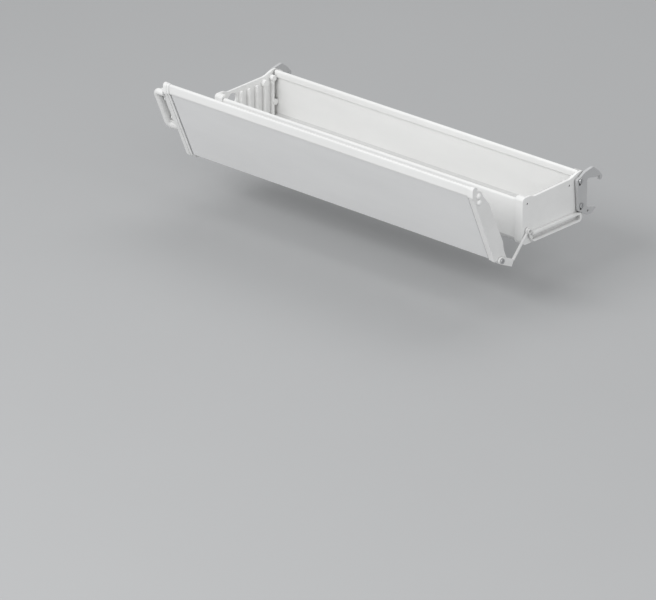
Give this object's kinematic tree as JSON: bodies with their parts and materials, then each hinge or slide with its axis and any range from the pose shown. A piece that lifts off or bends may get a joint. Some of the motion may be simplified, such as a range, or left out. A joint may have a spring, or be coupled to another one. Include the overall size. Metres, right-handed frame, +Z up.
{
  "type": "rim-hung aquarium filter trough",
  "caption": "Long open trough that hangs on a glass tank rim by two adjustable hooks, with a swing-over lid on gooseneck arms, a hose inlet and a strained outlet.",
  "frame": {"origin": "middle of the glass rim between the two rim hooks, on the line where the hooks rest", "axes": "+X along the trough to its right end, +Y from the trough over the rim to the outside of the glass, +Z up"},
  "size_m": [0.5208, 0.2273, 0.1166],
  "materials": {
    "white_plastic": "white moulded plastic, satin gloss",
    "panel_plastic": "white extruded plastic, satin",
    "grey_plastic": "pale grey moulded plastic",
    "seal_rubber": "pale silicone sealing strip",
    "stainless": "stainless steel"
  },
  "bodies": {
    "trough": {"trough_channel": "white_plastic", "end_cap_left": "white_plastic", "end_cap_right": "white_plastic", "end_seal_left": "seal_rubber", "end_seal_right": "seal_rubber", "outlet_strainer": "white_plastic", "pivot_pin_left": "white_plastic", "pivot_pin_right": "white_plastic", "hook_screws_left": "stainless", "hook_screws_right": "stainless"},
    "lid": {"lid_panel": "panel_plastic", "lid_edge_rail": "white_plastic", "lid_end_cap_left": "white_plastic", "lid_end_cap_right": "white_plastic", "lid_arm_left": "white_plastic", "lid_arm_right": "white_plastic", "arm_screw_left": "stainless", "arm_screw_right": "stainless", "lid_rivets_left": "white_plastic", "lid_rivets_right": "white_plastic", "pull_loop": "white_plastic"},
    "hook_left": {"rim_hook_left": "grey_plastic"},
    "hook_right": {"rim_hook_right": "grey_plastic"}
  },
  "joints": [
    {"name": "lid_swing", "type": "hinge", "parent": "trough", "child": "lid", "pos_m": [0, -0.1217, -0.033], "axis": [-1, 0, 0], "range_deg": [0, 113]},
    {"name": "hook_height_left", "type": "slide", "parent": "trough", "child": "hook_left", "axis": [0, 0, 1], "range_m": [0, 0.004]},
    {"name": "hook_height_right", "type": "slide", "parent": "trough", "child": "hook_right", "axis": [0, 0, 1], "range_m": [0, 0.004]}
  ]
}
